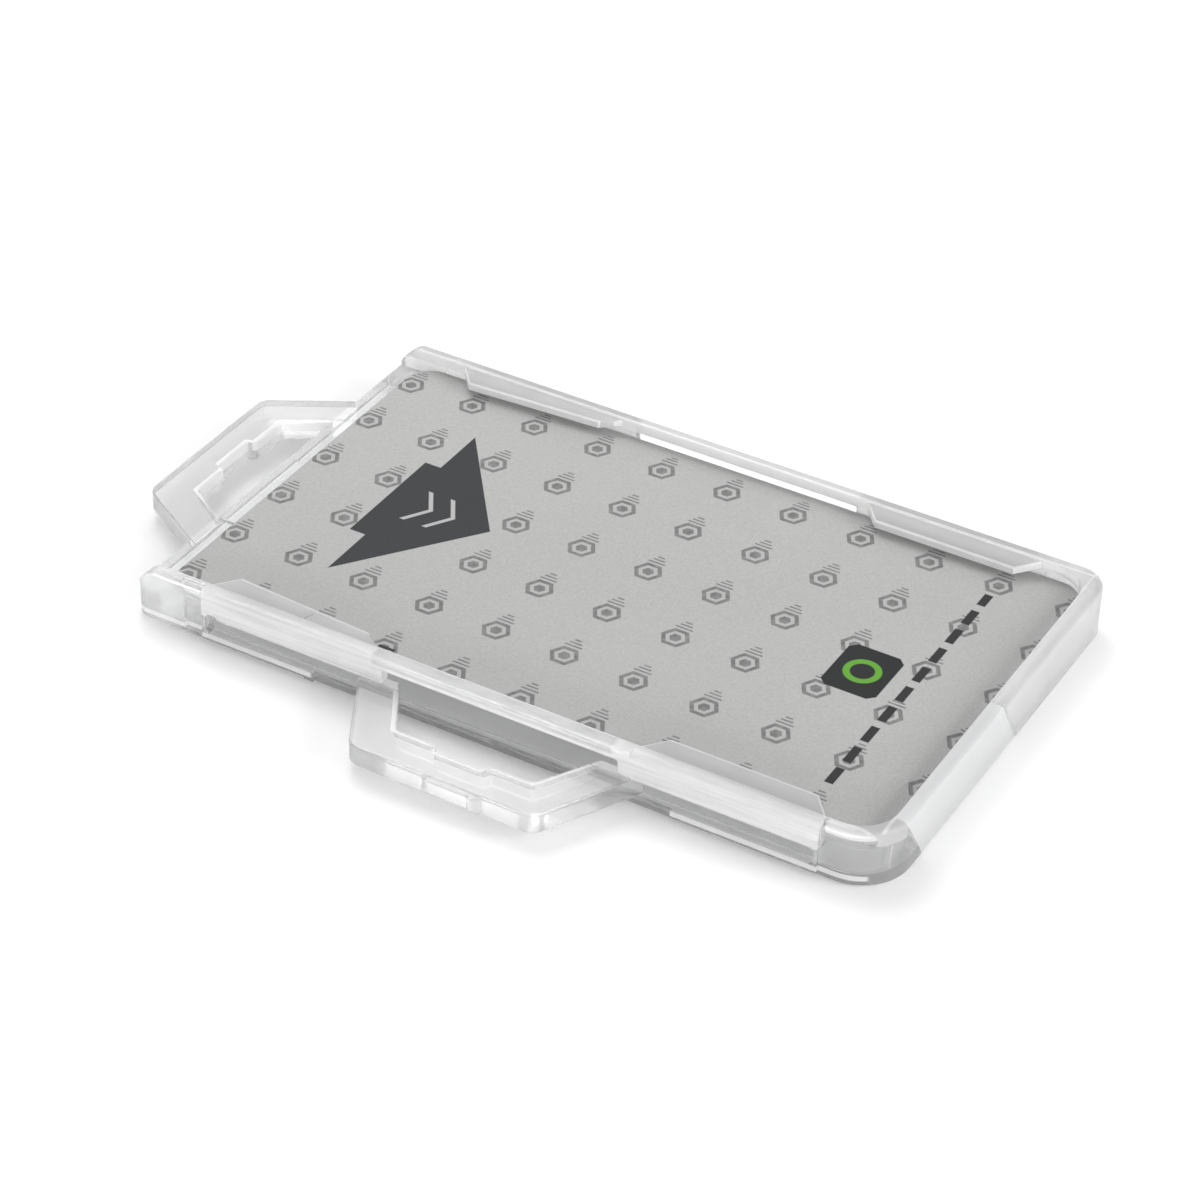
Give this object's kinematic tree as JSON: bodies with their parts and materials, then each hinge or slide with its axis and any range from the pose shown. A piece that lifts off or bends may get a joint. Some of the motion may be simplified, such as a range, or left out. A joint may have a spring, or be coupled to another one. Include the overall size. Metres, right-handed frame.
{
  "type": "badge holder",
  "caption": "Clear rigid badge holder with an open face, lanyard loops on one long and one short side, and a shielding sleeve that slides out of its open end.",
  "frame": {"origin": "on the flat back face, at the middle of the pocket that holds the sleeve", "axes": "+X from the open end to the closed end, +Y from the landscape loop's side to the plain long side, +Z out of the open face"},
  "size_m": [0.1111, 0.0725, 0.0075],
  "materials": {
    "clear_polycarbonate": "clear moulded polycarbonate, slightly milky",
    "printed_laminate": "satin grey foil-lined paper with a small printed pattern",
    "plain_laminate": "satin grey foil-lined paper, unprinted"
  },
  "bodies": {
    "holder": {"holder_body": "clear_polycarbonate"},
    "sleeve": {"sleeve_front_leaf": "printed_laminate", "sleeve_back_leaf": "plain_laminate"}
  },
  "joints": [
    {"name": "sleeve_slide", "type": "slide", "parent": "holder", "child": "sleeve", "axis": [-1, 0, 0], "range_m": [0, 0.085]}
  ]
}
